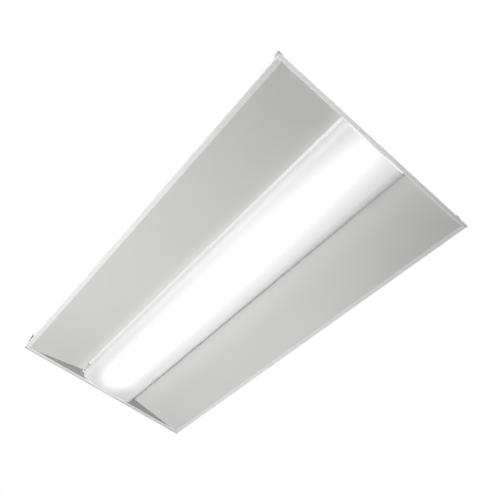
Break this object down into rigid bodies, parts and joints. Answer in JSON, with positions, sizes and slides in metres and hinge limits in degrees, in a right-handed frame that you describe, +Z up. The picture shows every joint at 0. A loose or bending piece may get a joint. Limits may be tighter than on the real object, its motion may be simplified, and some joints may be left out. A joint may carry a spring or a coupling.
{
  "type": "recessed troffer light",
  "caption": "Recessed troffer light for a ceiling grid: sloping reflector panels beside a full-length basket lens, with LED boards and driver above.",
  "frame": {"origin": "centre of the face, in the plane of the ceiling flanges' undersides", "axes": "+X across the light, +Y along it, +Z up into the ceiling void; the light shines towards -Z"},
  "size_m": [0.6032, 1.2128, 0.0916],
  "materials": {
    "white_paint": "matte white powder coat",
    "zinc_steel": "zinc-coated sheet with a faint spangle",
    "rivet_metal": "bare blind rivet",
    "zinc_screw": "bright zinc plate",
    "spring_steel": "plain spring steel",
    "black_plastic": "moulded nylon",
    "connector_plastic": "white moulded connector",
    "orange_plastic": "translucent moulded connector",
    "board_mask": "white solder mask",
    "led_phosphor": "yellow phosphor in a white package",
    "driver_metal": "zinc-coated base",
    "driver_paint": "white painted case",
    "black_rubber": "moulded grommet",
    "lead_black": "insulated lead",
    "lead_red": "insulated lead",
    "lead_green": "insulated ground lead",
    "ground_paint": "green ground screw",
    "lens_acrylic": "satin white translucent acrylic"
  },
  "bodies": {
    "housing": {"reflector_right": "white_paint", "reflector_left": "white_paint", "end_plate_near": "white_paint", "end_plate_far": "white_paint", "back_channel": "white_paint", "reflector_braces_right": "zinc_steel", "reflector_braces_left": "zinc_steel", "end_plate_rivets": "rivet_metal", "channel_rivets": "rivet_metal", "channel_cap_near": "white_paint", "channel_cap_far": "white_paint", "channel_cap_rivets": "rivet_metal", "channel_cap_screws": "zinc_screw", "cover_hinge_leaf": "zinc_steel", "cover_hinge_pin": "zinc_screw", "hinge_leaf_rivets": "rivet_metal", "gear_tray": "white_paint", "tray_rivets": "rivet_metal", "led_board_1": "board_mask", "led_board_2": "board_mask", "led_board_3": "board_mask", "led_board_4": "board_mask", "led_packages": "led_phosphor", "board_screws": "zinc_screw", "board_connectors": "connector_plastic", "driver_base": "driver_metal", "driver_case": "driver_paint", "driver_screws": "zinc_screw", "supply_connector": "orange_plastic", "driver_input_leads": "lead_black", "driver_output_leads": "lead_red", "lead_grommet": "black_rubber", "ground_lead": "lead_green", "ground_screw": "ground_paint", "grid_clip_rivets": "rivet_metal"},
    "lens_basket": {"diffuser": "lens_acrylic", "lens_rail_right": "white_paint", "lens_rail_left": "white_paint", "lens_cap_near": "white_paint", "lens_cap_far": "white_paint", "lens_hinge_pins": "zinc_screw", "lens_catch_near": "spring_steel", "lens_catch_far": "spring_steel"},
    "wiring_cover_door": {"wiring_cover": "zinc_steel", "knockout_slug": "zinc_steel", "wiring_bushing": "black_plastic", "cover_screw": "zinc_screw"},
    "clip_near_right": {"grid_clip_near_right": "spring_steel"},
    "clip_near_left": {"grid_clip_near_left": "spring_steel"},
    "clip_far_right": {"grid_clip_far_right": "spring_steel"},
    "clip_far_left": {"grid_clip_far_left": "spring_steel"}
  },
  "joints": [
    {"name": "lens_swing", "type": "hinge", "parent": "housing", "child": "lens_basket", "pos_m": [-0.098, 0, 0.028], "axis": [0, 1, 0], "range_deg": [0, 90]},
    {"name": "wiring_cover_swing", "type": "hinge", "parent": "housing", "child": "wiring_cover_door", "pos_m": [0, -0.41225, 0.08435], "axis": [-1, 0, 0], "range_deg": [0, 110]},
    {"name": "clip_near_right_swing", "type": "hinge", "parent": "housing", "child": "clip_near_right", "pos_m": [0.28003, -0.57903, 0.0387], "axis": [0, 0, -1], "range_deg": [0, 180]},
    {"name": "clip_near_left_swing", "type": "hinge", "parent": "housing", "child": "clip_near_left", "pos_m": [-0.28003, -0.57903, 0.0387], "axis": [0, 0, 1], "range_deg": [0, 180]},
    {"name": "clip_far_right_swing", "type": "hinge", "parent": "housing", "child": "clip_far_right", "pos_m": [0.28003, 0.57903, 0.0387], "axis": [0, 0, 1], "range_deg": [0, 180]},
    {"name": "clip_far_left_swing", "type": "hinge", "parent": "housing", "child": "clip_far_left", "pos_m": [-0.28003, 0.57903, 0.0387], "axis": [0, 0, -1], "range_deg": [0, 180]}
  ]
}
